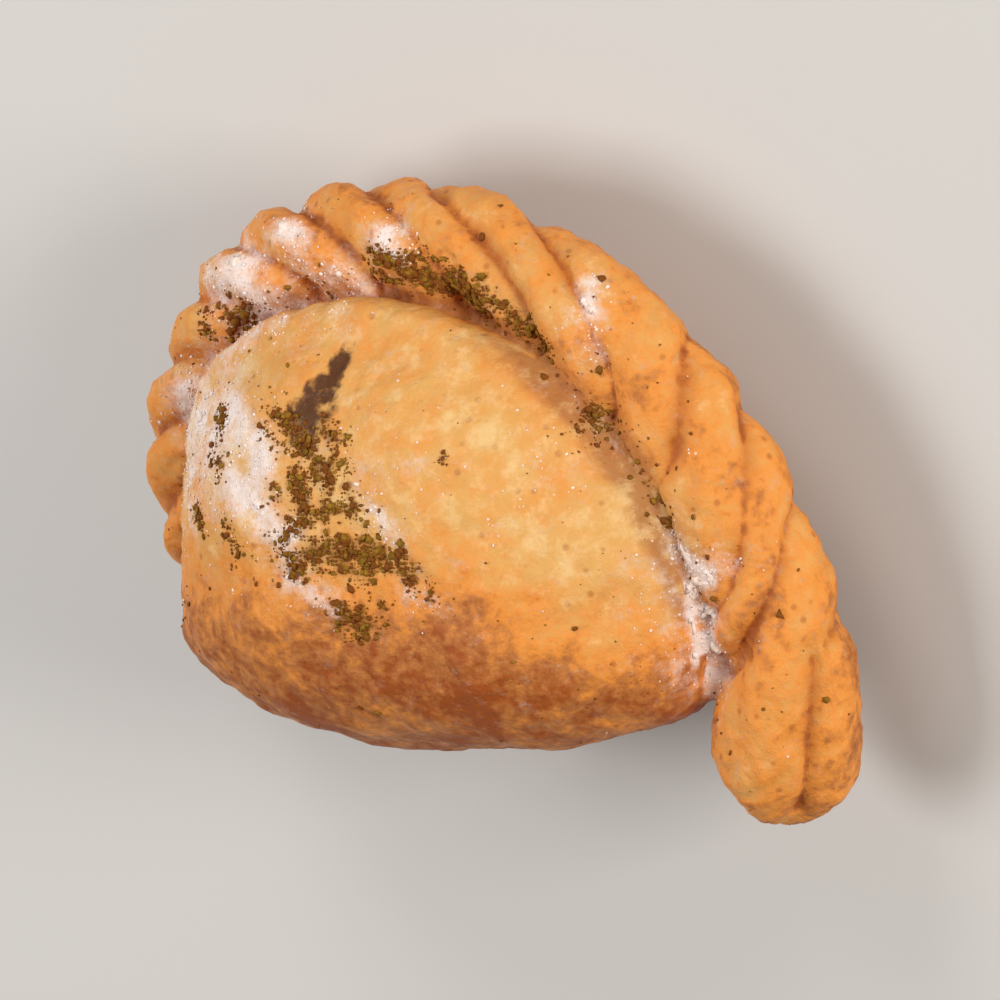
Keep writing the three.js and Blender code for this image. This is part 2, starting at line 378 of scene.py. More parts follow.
class GhotabStudio(bpy.types.PropertyGroup):
    """Camera and lights."""

    tilt: turned("Tilt", 42, "Angle from straight above to the camera")
    bearing: turned("Bearing", 20, "Direction of the camera, from +X towards +Y")
    roll: turned("Roll", -10, "Turn of the camera about its view")
    lens: bpy.props.FloatProperty(name="Lens", default=600, min=10, unit="CAMERA",
                                  description="Focal length in millimetres")
    fill: factor("Fill", 0.72, "Share of the picture's width that the pastry takes up")
    floor: colour("Floor", (0.66, 0.65, 0.635), "Pale floor")


def settings(name):
    """The scene's property group of that name."""
    return getattr(bpy.context.scene, name)


# ---- number work

def ease(value, start, end):
    """Smooth step: 0 at start, 1 at end, level at both."""
    t = np.clip((value - start) / (end - start), 0, 1)
    return t * t * (3 - 2 * t)


def bump(value, height, centre, width):
    """Bell curve: height times e to the minus square of the distance from centre over width."""
    return height * np.exp(-(((value - centre) / width) ** 2))


def gradient_noise(points, wavelength, seed):
    """Gradient noise, about -1 to 1: in each cube of a lattice, the random slopes at its eight
    corners are followed to the point and mixed by a quintic fade."""
    rng = np.random.default_rng(seed)
    table = rng.permutation(256)
    slopes = rng.normal(size=(256, 3))
    slopes /= np.linalg.norm(slopes, axis=1, keepdims=True)
    place = points / wavelength + rng.uniform(0, 64, 3)
    cell = np.floor(place).astype(int)
    inside = place - cell
    fade = inside ** 3 * (inside * (inside * 6 - 15) + 10)
    total = np.zeros(len(points))
    for corner in np.ndindex(2, 2, 2):
        x, y, z = ((cell + corner) & 255).T
        slope = slopes[table[(table[(table[x] + y) & 255] + z) & 255]]
        weight = np.prod(np.where(corner, fade, 1 - fade), axis=1)
        total += weight * np.sum(slope * (inside - corner), axis=1)
    return NOISE_GAIN * total


def noise(points, name):
    """A named noise: gradient noises, each with half the wavelength and half the height of the last."""
    wavelength, seed, layers = NOISES[name]
    return sum(gradient_noise(points, wavelength / 2 ** i, seed + i) / 2 ** i for i in range(layers))


# ---- shape of the pastry

def arch_factor(angle):
    """How far the arch stands out from a true half ellipse at an angle."""
    return 1 - bump(angle, *STRAIGHT_SHOULDER) + bump(angle, *FULL_SHOULDER)


def seam_point(angle, shape):
    """Centre line of the rope: a half ellipse, with its tail flared and its end tucked and dropped."""
    tail = ease(angle, *TAIL_SPAN)
    end = ease(angle, *END_SPAN)
    reach = arch_factor(angle)
    return (
        shape.seam_half_chord * reach * np.cos(angle) + shape.tail_flare * tail + shape.end_tuck * end,
        shape.seam_rise * reach * np.sin(angle),
        shape.seam_height - shape.end_drop * end,
    )


def pocket_outline(angle, shape):
    """Plan of the pocket: the arch above the chord, a superellipse, squarer on its right, below it."""
    cos, sin = np.cos(angle), np.sin(angle)
    half_width = shape.seam_half_chord - shape.pocket_inset
    rise = shape.seam_rise - shape.pocket_inset
    power = CORNER_POWER_LEFT + (CORNER_POWER_RIGHT - CORNER_POWER_LEFT) * (0.5 + 0.5 * cos)
    reach = (np.abs(cos / half_width) ** power + np.abs(sin / shape.fold_bow) ** power) ** (-1 / power)
    reach_low = reach * np.where(cos > 0, arch_factor(0.0), arch_factor(math.pi))
    upper = sin >= 0
    x = np.where(upper, half_width * arch_factor(angle), reach_low) * cos
    y = np.where(upper, rise * arch_factor(angle), reach) * sin
    return x, y


def pocket_surface(u, v, shape):
    """The pocket: rings that follow the outline round (u) and rise from the belly's pole to the
    dome's (v), a superellipsoid whose rim climbs from the seam's level to the fold's."""
    angle = TURN * u
    latitude = math.pi * (v - 0.5)
    reach = np.cos(latitude)
    x, y = pocket_outline(angle, shape)
    rise = ease(np.sin(angle), *RIM_RISE_SPAN)
    rim = (shape.seam_height + (shape.fold_height - shape.seam_height) * rise) * reach ** 2
    dome = shape.dome_height * np.sqrt(np.clip(1 - reach ** DOME_POWER, 0, 1))
    belly = -shape.belly_depth * np.sqrt(np.clip(1 - reach ** BELLY_POWER, 0, 1))
    return (
        PEAK[0] + (x - PEAK[0]) * reach,
        PEAK[1] + (y - PEAK[1]) * reach,
        rim + np.where(latitude > 0, dome, belly),
    )


def web_surface(u, v, shape):
    """The web: a flat disc with a blunt edge just inside the rope's centre line, shut by the chord."""
    angle = TURN * u
    latitude = math.pi * (v - 0.5)
    reach = np.cos(latitude)
    upper = np.sin(angle) >= 0
    side = np.where(np.cos(angle) > 0, 0.0, math.pi)
    x, y, z = seam_point(np.where(upper, angle, side), shape)
    along = np.where(upper, 1.0, np.abs(np.cos(angle)))
    blunt = np.sqrt(np.clip(1 - reach ** WEB_POWER, 0, 1))
    thickness = shape.web_half_thickness * np.sign(latitude) * blunt
    return (
        WEB_REACH * x * along * reach,
        PEAK[1] + (WEB_REACH * y - PEAK[1]) * reach,
        shape.seam_height + (z - shape.seam_height) * reach + thickness,
    )


class Seam:
    """The rope's centre line by distance from the tip of its tail, and the creases across it."""

    def __init__(self, shape):
        self.shape = shape
        self.angle = np.linspace(TAIL_ANGLE, END_ANGLE, SEAM_STEPS)
        self.line = np.stack(seam_point(self.angle, shape), axis=1)
        steps = np.linalg.norm(np.diff(self.line, axis=0), axis=1)
        self.distance = np.concatenate([[0.0], np.cumsum(steps)])
        self.length = self.distance[-1]
        heading = np.gradient(self.line[:, :2], axis=0)
        self.heading = heading / np.linalg.norm(heading, axis=1, keepdims=True)
        self.crease_at, self.crease_lean = np.array(CREASES).T * MM
        self.pleats = len(CREASES) - 1

    def at(self, distance):
        """Centre and outward direction in plan at a distance."""
        centre = [np.interp(distance, self.distance, self.line[:, i]) for i in range(3)]
        heading = [np.interp(distance, self.distance, self.heading[:, i]) for i in range(2)]
        return centre, (heading[1], -heading[0])

    def crease_place(self, number, turn):
        """Place of a crease at an angle round the rope: it leans most at the crown."""
        return self.crease_at[number] - self.crease_lean[number] * np.sin(turn - CROWN_ANGLE)

    def slow_at_tips(self, place):
        """Distance for a place that may lie beyond the rope: it slows down and stops at either tip."""
        from_end = self.length - place
        tip = self.shape.tip_length
        near = np.minimum(place, from_end)
        eased = np.clip(near + tip, 0, 2 * tip) ** 2 / (4 * tip) + np.maximum(near - tip, 0)
        return np.where(place < from_end, eased, self.length - eased)

    def section(self, distance):
        """Half width and half height of the rope without its creases, and its rounding at the tips."""
        along = distance / self.length
        size = 1 + self.shape.tail_swell * ease(along, *SWELL_SPAN)
        size = size - self.shape.end_shrink * ease(along, *SHRINK_SPAN)
        to_tip = np.clip(np.minimum(distance, self.length - distance) / self.shape.tip_length, 0, 1)
        rounding = np.sqrt(1 - (1 - to_tip) ** 2)
        return self.shape.rope_half_width * size, self.shape.rope_half_height * size, rounding


def pleat_profile(across):
    """0 in the creases beside a pleat and 1 on its crest, which lies off centre."""
    shifted = across ** PLEAT_SKEW
    return (4 * shifted * (1 - shifted)) ** PLEAT_POWER


def rope_surface(u, v, shape, seam):
    """The rope: an elliptical tube (u round it) along the seam, less a groove at each crease. Rows (v)
    lean with the creases, so that they run along each."""
    turn = -TURN * u
    number = np.minimum((v * seam.pleats).astype(int), seam.pleats - 1)
    across_pleat = v * seam.pleats - number
    before, after = seam.crease_place(number, turn), seam.crease_place(number + 1, turn)
    distance = seam.slow_at_tips(before + (after - before) * across_pleat)
    deeper = ease(distance / seam.length, *PLEAT_DEPTH_SPAN)
    depth = shape.pleat_depth_tail + (shape.pleat_depth_end - shape.pleat_depth_tail) * deeper
    crease = depth * (1 - pleat_profile(across_pleat))
    centre, outward = seam.at(distance)
    half_width, half_height, rounding = seam.section(distance)
    across = (half_width - crease) * rounding * np.cos(turn)
    return (
        centre[0] + outward[0] * across,
        centre[1] + outward[1] * across,
        centre[2] + (half_height - crease) * rounding * np.sin(turn),
    )


# ---- meshes

def grid_points(surface, columns, rows, *arguments):
    """Points and faces of a surface of two parameters on a grid, as one array each."""
    u, v = np.meshgrid(np.linspace(0, 1, columns + 1), np.linspace(0, 1, rows + 1))
    points = np.stack([np.broadcast_to(a, u.shape) for a in surface(u, v, *arguments)], axis=-1)
    first = (np.arange(rows)[:, None] * (columns + 1) + np.arange(columns)).ravel()
    faces = np.stack([first, first + 1, first + columns + 2, first + columns + 1], axis=1)
    return points.reshape(-1, 3), faces


def mesh_from_arrays(name, points, faces):
    """A mesh from arrays of points and of faces that all have the same number of corners."""
    mesh = bpy.data.meshes.new(name)
    sides = faces.shape[1]
    mesh.vertices.add(len(points))
    mesh.vertices.foreach_set("co", points.astype(np.float32).ravel())
    mesh.loops.add(faces.size)
    mesh.loops.foreach_set("vertex_index", faces.astype(np.int32).ravel())
    mesh.polygons.add(len(faces))
    mesh.polygons.foreach_set("loop_start", np.arange(0, faces.size, sides, dtype=np.int32))
    mesh.update(calc_edges=True)
    mesh.validate()
    return mesh


def add_object(name, mesh):
    """A new object of that mesh in the scene's collection, at the origin."""
    piece = bpy.data.objects.new(name, mesh)
    bpy.context.scene.collection.objects.link(piece)
    return piece


def read_points(mesh):
    """Vertex positions and normals of a mesh as arrays."""
    points = np.empty(len(mesh.vertices) * 3, np.float32)
    mesh.vertices.foreach_get("co", points)
    normals = np.empty(len(mesh.vertices) * 3, np.float32)
    mesh.vertex_normals.foreach_get("vector", normals)
    return points.reshape(-1, 3).astype(float), normals.reshape(-1, 3).astype(float)


def write_points(mesh, points):
    """Puts an array of positions into a mesh."""
    mesh.vertices.foreach_set("co", points.astype(np.float32).ravel())
    mesh.update()


def write_attribute(mesh, name, values):
    """Stores one number for each vertex under a name that the materials read."""
    attribute = mesh.attributes.new(name, "FLOAT", "POINT")
    attribute.data.foreach_set("value", values.astype(np.float32))


def read_attribute(mesh, name):
    """Reads what write_attribute stored."""
    values = np.empty(len(mesh.vertices), np.float32)
    mesh.attributes[name].data.foreach_get("value", values)
    return values.astype(float)


def edge_array(mesh):
    """Vertex pairs of all edges."""
    edges = np.empty(len(mesh.edges) * 2, np.int32)
    mesh.edges.foreach_get("vertices", edges)
    return edges.reshape(-1, 2)


def spread(values, edges, rounds):
    """Averages each vertex's values with its neighbours' mean, that many times."""
    a, b = edges.T
    count = np.bincount(edges.ravel(), minlength=len(values))[:, None]
    values = values.reshape(len(values), -1)
    for _ in range(rounds):
        mean = np.stack(
            [np.bincount(a, column[b], len(values)) + np.bincount(b, column[a], len(values))
             for column in values.T], axis=1) / count
        values = 0.5 * (values + mean)
    return values.squeeze()


def remesh(piece, voxel):
    """Joins all closed surfaces of a piece into one even skin."""
    modifier = piece.modifiers.new("Remesh", "REMESH")
    modifier.mode = "VOXEL"
    modifier.voxel_size = voxel
    modifier.adaptivity = 0
    graph = bpy.context.evaluated_depsgraph_get()
    joined = bpy.data.meshes.new_from_object(piece.evaluated_get(graph))
    piece.modifiers.remove(modifier)
    old = piece.data
    piece.data = joined
    bpy.data.meshes.remove(old)
    return joined


def plan_distance(plan, path):
    """Distance in plan from each point to a path of straight pieces, as the least over its pieces."""
    corners = np.array(path) * MM
    nearest = np.full(len(plan), np.inf)
    for start, end in zip(corners[:-1], corners[1:]):
        step = end - start
        share = np.clip((plan - start) @ step / (step @ step), 0, 1)
        nearest = np.minimum(nearest, np.linalg.norm(plan - start - share[:, None] * step, axis=1))
    return nearest


def drift_field(plan, drifts, widened=1.0):
    """Sum of bell curves of the distance from each drift's path."""
    return sum(
        amount * np.exp(-((plan_distance(plan, path) / (widened * width * MM)) ** 2))
        for path, width, amount in drifts
    )


# ---- places on the pastry

class Places:
    """Where points of the skin lie on the pastry, each measure as an array of one number a point."""

    def __init__(self, points, shape, offset):
        seam = Seam(shape)
        inside = points - offset
        self.plan = inside[:, :2]
        coarse = seam.line[::COARSE_STEP]
        nearest = np.concatenate([
            np.argmin(np.sum((part[:, None] - coarse) ** 2, axis=2), axis=1)
            for part in np.array_split(inside, 1 + len(inside) // BATCH)
        ]) * COARSE_STEP
        ahead = np.sum((inside - seam.line[nearest])[:, :2] * seam.heading[nearest], axis=1)
        self.along = np.clip(seam.distance[nearest] + ahead, 0, seam.length)
        centre, outward = seam.at(self.along)
        across = (self.plan[:, 0] - centre[0]) * outward[0] + (self.plan[:, 1] - centre[1]) * outward[1]
        past = self.plan - np.stack(centre[:2], axis=1)
        beyond = np.sqrt(np.maximum(np.sum(past ** 2, axis=1) - across ** 2, 0))
        upward = inside[:, 2] - centre[2]
        half_width, half_height, _ = seam.section(self.along)
        ratio = np.sqrt(
            (across / half_width) ** 2 + (upward / half_height) ** 2 + (beyond / half_width) ** 2
        )
        self.gap = (ratio - 1) * half_width
        self.rope = 1 - ease(self.gap, *ROPE_EDGE)
        turn = np.arctan2(upward / half_height, across / half_width)
        margin = 2 * shape.tip_length
        beyond_tips = np.linspace(-margin, seam.length + margin, 2 * SEAM_STEPS)
        place = np.interp(self.along, seam.slow_at_tips(beyond_tips), beyond_tips)
        creases = seam.crease_place(np.arange(seam.pleats + 1)[:, None], turn)
        self.pleat_number = np.clip(np.sum(place >= creases, axis=0) - 1, 0, seam.pleats - 1)
        before = np.take_along_axis(creases, self.pleat_number[None], axis=0)[0]
        after = np.take_along_axis(creases, self.pleat_number[None] + 1, axis=0)[0]
        self.into_pleat = place - before
        self.across_pleat = np.clip(self.into_pleat / (after - before), 0, 1)
        self.pleat = pleat_profile(self.across_pleat)
        self.round = np.mod(turn + math.pi / 2, TURN) * half_width
        on_rope = np.stack([self.along, turn * half_width], axis=1)
        self.to_fold = np.minimum.reduce([plan_distance(on_rope, path) for path in TAIL_FOLDS])
        lean = seam.crease_lean[self.pleat_number] * np.cos(turn - CROWN_ANGLE) / half_width
        self.to_crease = np.minimum(self.into_pleat, after - place) / np.sqrt(1 + lean ** 2)
        self.topside = ease(np.sin(turn), *TOPSIDE_SPAN)
        self.share = self.along / seam.length
        self.inner_side = ease(across, *INNER_SIDE_SPAN)
        self.top_left = ease(self.share, *TOP_LEFT_SPAN)


def concavity(points, normals, edges, rounds):
    """How far the skin's neighbourhood stands above each point: plus in hollows, minus on ridges."""
    return np.sum((spread(points, edges, rounds) - points) * normals, axis=1)


def pastry_surfaces(shape):
    """Points and faces of the pocket, the web and the rope in seam coordinates."""
    seam = Seam(shape)
    parts = [
        grid_points(pocket_surface, *POCKET_GRID, shape),
        grid_points(web_surface, *WEB_GRID, shape),
        grid_points(rope_surface, ROPE_GRID[0], ROPE_GRID[1] * seam.pleats, shape, seam),
    ]
    counts = np.cumsum([0] + [len(points) for points, _ in parts])
    faces = np.concatenate([part[1] + first for part, first in zip(parts, counts)])
    return np.concatenate([part[0] for part in parts]), faces


def place_in_frame(points, shape):
    """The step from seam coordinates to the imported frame: the middles of the two boxes meet in plan,
    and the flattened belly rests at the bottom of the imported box."""
    low, high = (np.array(corner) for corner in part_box(NODE))
    middle = (low + high) / 2 - (points.min(axis=0) + points.max(axis=0)) / 2
    return np.array([middle[0], middle[1], low[2] - (shape.belly_flattened - shape.belly_depth)])


def crust_relief(points, normals, places, crust):
    """Height of the fried skin over the smooth shape. It adds broad lumps of the filling, blisters, fine
    grain, knobs and folds on the pleats, each pleat's own height, puckers that run into the groove, the
    dome's fuller shoulder and the rope's overhang. It takes away pits, the groove along the top, the
    tail's split, the creases and one scar."""
    rope, top_left = places.rope, places.top_left
    lumps = crust.lump_height * noise(points, "lumps") * (1 - 0.5 * rope)
    blisters = crust.blister_height * np.maximum(noise(points, "blisters") - 0.10, 0) * (1 - 0.6 * rope)
    pits = -PIT_DEPTH * np.maximum(noise(points, "pits") - 0.40, 0)
    grain = crust.grain_height * noise(points, "grain")
    knobs = KNOB_HEIGHT * noise(points, "knobs") * rope
    across, along, shift = FOLD_CELL
    fold_place = np.stack(
        [places.into_pleat / across, places.round / along, places.pleat_number * shift], axis=1
    )
    folds = FOLD_HEIGHT * noise(fold_place, "folds") * rope * places.pleat
    own = np.random.default_rng(PLEAT_SEED).uniform(*PLEAT_LIFT, len(CREASES))
    lift = own[places.pleat_number] * MM * places.pleat * rope
    along, across = PUCKER_CELL
    pucker_place = np.stack([places.along / along, places.gap / across, normals[:, 2]], axis=1)
    upward = ease(normals[:, 2], 0, 0.5)
    near_groove = (1 - rope) * (1 - ease(places.gap, *PUCKER_SPAN)) * upward
    puckers = PUCKER_HEIGHT * noise(pucker_place, "puckers") * near_groove

    groove = bump(places.gap, *TOP_GROOVE) * places.inner_side * top_left
    shoulder = bump(places.gap, *SHOULDER) * (1 - rope) * top_left
    overhang = (OVERHANG_HEIGHT * ease(places.share, *OVERHANG_SPAN)
                + bump(places.share, *OVERHANG_PEAK)) * MM
    overhang *= places.inner_side * rope * (1 - top_left)
    sideways = ease(normals[:, 2], -0.6, 0.4)

    tail_folds = TAIL_FOLD_DEPTH * np.exp(-((places.to_fold / TAIL_FOLD_WIDTH) ** TAIL_FOLD_POWER)) * rope
    uneven = 0.75 + 0.5 * noise(points, "creases")
    creases = CREASE_DEPTH * uneven * np.exp(-np.maximum(places.to_crease, 0) / CREASE_WIDTH) * rope
    scar = SCAR_DEPTH * scar_mask(places.plan, points)
    raised = lumps + blisters + pits + grain + knobs + folds + lift + puckers
    raised = raised + (shoulder + overhang - groove) * sideways
    return raised - tail_folds - creases - scar


def scar_mask(plan, points):
    """1 along the middle of the scar, falling off in ragged edges, and narrower towards its far end."""
    ragged = 0.35 * noise(points, "scar")
    near, lost = SCAR_WIDTH
    width = (near - lost * ease(plan[:, 1], SCAR[0][1] * MM, SCAR[-1][1] * MM)) * MM
    return np.clip(1.3 * np.exp(-((plan_distance(plan, SCAR) / width) ** 2)) + ragged - 0.3, 0, 1)


def flank_browning_and_shade_mask(places, mottle):
    """1 on the flank under the fold, which is darkened partly as browning and partly as painted shade,
    and 0 up on the dome, by a ragged edge that drops to the right.
    """
    drop = FLANK_DROP * ease(places.plan[:, 0], *FLANK_DROP_SPAN)
    return ease(places.plan[:, 1] + drop + FLANK_RAGGED * mottle, *FLANK_SPAN) * (1 - places.rope)


def browning_and_shade_field(points, normals, places, mottle, flank_browning_and_shade, hollow):
    """How brown the dough is, with painted shade mixed in: mottled, and browner on the rope, most of all
    its tail, on what faces down or lies low, a little on ridges, on the flank, where it is partly painted
    shade, and in hollows, where it is painted shade."""
    low = 1 - ease(points[:, 2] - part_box(NODE)[0].z, *LOW_SPAN)
    under = ease(normals[:, 2], 0.25, -0.6)
    tail = ease(places.share, *TAIL_TOAST_SPAN)
    # The flank term is partly painted shade, and the first hollow term is painted shade.
    return (0.20 + 0.17 * mottle + (0.20 + 0.12 * tail) * places.rope + 0.16 * under
            + 0.24 * low * (1 - 0.6 * places.rope) + 0.62 * flank_browning_and_shade
            + 0.26 * ease(hollow, 0.02, 0.14) + 0.10 * ease(hollow, -0.02, -0.12))


def sugar_field(places, points, normals):
    """Depth of icing sugar, 0 to 1.4: drifts, and a streak in the groove, broken up by noise, on faces
    that look up."""
    broken = 0.55 + 1.2 * noise(points, "sugar")
    upward = ease(normals[:, 2], -0.05, 0.5)
    streak = bump(places.gap, *STREAK) * places.inner_side
    streak *= ease(places.share, *STREAK_START) * ease(places.share, *STREAK_END)
    return np.clip((drift_field(places.plan, SUGAR_DRIFTS) + streak) * broken, 0, 1.4) * upward


def dust_field(places, normals, mottle, flank_browning_and_shade, sugar):
    """How thickly a haze of sugar veils the dough: where sugar lies, round its drifts, and in faint
    patches on the dome that thin out towards its top and on the flank."""
    haze = 0.16 * ease(mottle, -0.3, 0.5) * ease(normals[:, 2], 0.1, 0.7) * (1 - 0.8 * places.rope)
    haze = haze * (1 - flank_browning_and_shade) * (1 - 0.7 * ease(places.plan[:, 1], *CLEAR_TOP_SPAN))
    film = 0.5 * drift_field(places.plan, SUGAR_DRIFTS, FILM_SPREAD) * ease(normals[:, 2], -0.1, 0.5)
    return np.clip(0.6 * sugar + haze + film, 0, 1)


def crease_shade_field(points, places):
    """Painted shade: dark lines along the creases and the tail's folds, on the topside, that come and go.
    """
    to_line = np.minimum(np.maximum(places.to_crease, 0), places.to_fold)
    faded = np.clip(0.7 + 0.7 * noise(points, "lines"), 0, 1)
    return np.exp(-to_line / CREASE_SHADE_WIDTH) * places.rope * places.topside * faded


def dull_and_shade_field(places, normals, wide_hollow):
    """Dull colour in the groove, partly the dough's own and partly painted shade: a narrow band along the
    top and left, save on broad ridges, and a wider one on the right."""
    top = bump(places.gap, *TOP_DULL_AND_SHADE) * places.top_left * (1 - ease(wide_hollow, 0.0, -0.4))
    right = bump(places.gap, *RIGHT_DULL_AND_SHADE) * (1 - places.top_left) * ease(places.share, *RIGHT_DULL_AND_SHADE_SPAN)
    return (top + right) * places.inner_side * ease(normals[:, 2], -0.3, 0.3)


def crumb_field(places, points, normals):
    """How many pistachio crumbs lie at each point: drifts, a few in the groove, a few anywhere on top."""
    upward = ease(normals[:, 2], 0.05, 0.6)
    broken = np.clip(0.65 + 1.2 * noise(points, "crumbs"), 0, 2)
    near_rope = 1 - ease(np.abs(places.gap - 0.4 * MM), 0.4 * MM, 1.6 * MM)
    groove = GROOVE_CRUMBS * near_rope * places.inner_side
    groove *= ease(places.share, *GROOVE_CRUMB_SPAN)
    drifts = drift_field(places.plan, CRUMB_DRIFTS, CRUMB_SPREAD)
    return (drifts * broken + groove + STRAY_CRUMBS) * upward


def store_fields(mesh, edges, places):
    """Stores the fields that the materials and the toppings read, from the finished skin."""
    points, normals = read_points(mesh)
    hollow = concavity(points, normals, edges, HOLLOW_ROUNDS) / MM
    wide_hollow = concavity(points, normals, edges, WIDE_HOLLOW_ROUNDS) / MM
    mottle = noise(points, "mottle")
    # The flank under the fold, darkened partly as browning and partly as painted shade.
    flank_browning_and_shade = flank_browning_and_shade_mask(places, mottle)
    sugar = sugar_field(places, points, normals)
    scar = scar_mask(places.plan, points)
    fields = {
        # Browning, with painted shade on the flank and in hollows.
        "toast": np.clip(browning_and_shade_field(points, normals, places, mottle, flank_browning_and_shade, hollow), 0, 1),
        # How hollow the skin is: the crust paints shade by it, and the sugar layer fills hollows by it.
        "hollow": np.clip(ease(hollow, 0.01, 0.16) + ease(wide_hollow, 0.15, 0.9), 0, 1),
        "scar": scar,
        "dust": dust_field(places, normals, mottle, flank_browning_and_shade, sugar) * (1 - scar),
        # Painted shade along the creases and the tail's folds.
        "lines": crease_shade_field(points, places),
        # Dull colour in the groove, partly painted shade.
        "groove": dull_and_shade_field(places, normals, wide_hollow),
        "sugar": sugar,
        "crumbs": crumb_field(places, points, normals),
    }
    for name, values in fields.items():
        write_attribute(mesh, name, values)


def rest_on_floor(points):
    """Lifts what lies under the floor to it, by a hyperbola that rounds the edge of the contact."""
    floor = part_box(NODE)[0].z
    height = points[:, 2] - floor
    points[:, 2] = floor + 0.5 * (height + np.sqrt(height ** 2 + FLOOR_SOFTNESS ** 2))
    return points


def build_crust(shape, crust):
    """The skin: the three surfaces joined and smoothed, the groove beside the rope filled by the mean of
    what is round it, then raised by the relief and rested on the floor."""
    points, faces = pastry_surfaces(shape)
    offset = place_in_frame(points, shape)
    piece = add_object("pastry_crust", mesh_from_arrays("pastry_crust", points + offset, faces))
    mesh = remesh(piece, shape.voxel)
    edges = edge_array(mesh)
    write_points(mesh, spread(read_points(mesh)[0], edges, SMOOTH_ROUNDS))
    points = read_points(mesh)[0]
    places = Places(points, shape, offset)
    in_groove = bump(places.gap, *FILLED_GROOVE) * places.inner_side * (1 - 0.8 * places.top_left)
    write_points(mesh, points + (spread(points, edges, FILL_ROUNDS) - points) * in_groove[:, None])
    points, normals = read_points(mesh)
    raised = points + normals * crust_relief(points, normals, places, crust)[:, None]
    write_points(mesh, rest_on_floor(raised))
    store_fields(mesh, edges, places)
    mesh.polygons.foreach_set("use_smooth", np.ones(len(mesh.polygons), bool))
    mesh.materials.clear()
    mesh.materials.append(crust_material(crust))
    mesh.update()
    return piece


# ---- toppings

def patch_faces(mesh, wanted):
    """Corner indices of the faces whose corners are all wanted."""
    corners = np.empty(len(mesh.loops), np.int32)
    mesh.loops.foreach_get("vertex_index", corners)
    quads = corners.reshape(-1, 4)
    return quads[wanted[quads].all(axis=1)]


def build_sugar_layer(skin, toppings):
    """Soft layer of icing sugar: the skin's faces where sugar lies, lifted by its depth above and sunk
    below, closed along the edge of each drift, which is sunk under the skin."""
    points, normals = read_points(skin)
    depth = read_attribute(skin, "sugar")
    thickness = depth * (0.50 + 1.35 * noise(points, "clumps")) - 0.30
    quads = patch_faces(skin, thickness > 0)
    edges = np.sort(np.concatenate([quads[:, [i, (i + 1) % 4]] for i in range(4)]), axis=1)
    sides, count = np.unique(edges, axis=0, return_counts=True)
    used = np.unique(quads)
    on_edge = np.isin(used, sides[count == 1])
    number = np.zeros(len(points), int)
    number[used] = np.arange(len(used))
    settled = np.clip(thickness[used], 0, 1)
    lift = toppings.sugar_depth * np.sqrt(settled)
    lift += toppings.sugar_fill * read_attribute(skin, "hollow")[used] * settled
    lift[on_edge] = -SUGAR_EDGE_SUNK
    top = points[used] + normals[used] * lift[:, None]
    inner = np.flatnonzero(~on_edge)
    bottom = points[used[inner]] - normals[used[inner]] * SUGAR_SOLE_SUNK
    below = np.arange(len(used))
    below[inner] = len(used) + np.arange(len(inner))
    upper = number[quads]
    faces = np.concatenate([upper, below[upper][:, ::-1]])
    return np.concatenate([top, bottom]), faces


def icosahedron():
    """Corners and faces of a unit icosahedron, from the golden ratio. Its edges are 1.05 long, and
    corners that share none are farther apart."""
    golden = (1 + math.sqrt(5)) / 2
    ring = [(0, a, b * golden) for a in (-1, 1) for b in (-1, 1)]
    corners = np.array([np.roll(corner, turn) for turn in range(3) for corner in ring], float)
    corners /= np.linalg.norm(corners, axis=1, keepdims=True)
    near = np.linalg.norm(corners[:, None] - corners, axis=2) < 1.1
    faces = []
    for a, b, c in combinations(range(len(corners)), 3):
        if near[a, b] and near[b, c] and near[a, c]:
            outward = np.linalg.det(corners[[a, b, c]]) > 0
            faces.append((a, b, c) if outward else (a, c, b))
    return corners, np.array(faces)


def scatter(skin, weight, sizes, rng, uneven, flatness, sink):
    """Many small angular bits on the skin. Each is an icosahedron that is pushed in or out at each
    corner, turned and stretched, all at random, then flattened along the skin's normal and sunk in."""
    points, normals = read_points(skin)
    count = len(sizes)
    chosen = rng.choice(len(points), size=count, p=weight / weight.sum())
    corners, faces = icosahedron()
    bits = corners * (1 + uneven * rng.uniform(-1, 1, (count, len(corners), 1)))
    turn = np.linalg.qr(rng.normal(size=(count, 3, 3)))[0]
    bits = np.einsum("nij,nkj->nki", turn, bits)
    stretch = rng.uniform(*BIT_STRETCH, (count, 1, 3))
    stretch[:, :, 2] = flatness
    normal = normals[chosen]
    side = np.cross(normal, rng.normal(size=(count, 3)))
    side /= np.linalg.norm(side, axis=1, keepdims=True)
    axes = np.stack([side, np.cross(normal, side), normal], axis=1)
    size = sizes[:, None]
    bits = np.einsum("nki,nij->nkj", bits * stretch * size[:, :, None], axes)
    jitter = (side + 0.4 * normal) * rng.uniform(-BIT_JITTER, BIT_JITTER, (count, 1))
    centre = points[chosen] + normal * size * flatness * (1 - 2 * sink) + jitter
    bits += centre[:, None]
    first = len(corners) * np.arange(count)[:, None, None]
    return bits.reshape(-1, 3), (faces + first).reshape(-1, 3)


# ---- materials

def fill_inputs(tree, node, inputs):
    """Fills a node's inputs with values or with other nodes' outputs."""
    for socket, value in inputs.items():
        if isinstance(value, bpy.types.NodeSocket):
            tree.links.new(value, node.inputs[socket])
        else:
            node.inputs[socket].default_value = value


def add_node(tree, kind, inputs, **options):
    """Adds a node, sets its options and fills its inputs."""
    node = tree.nodes.new(kind)
    for name, value in options.items():
        setattr(node, name, value)
    fill_inputs(tree, node, inputs)
    return node


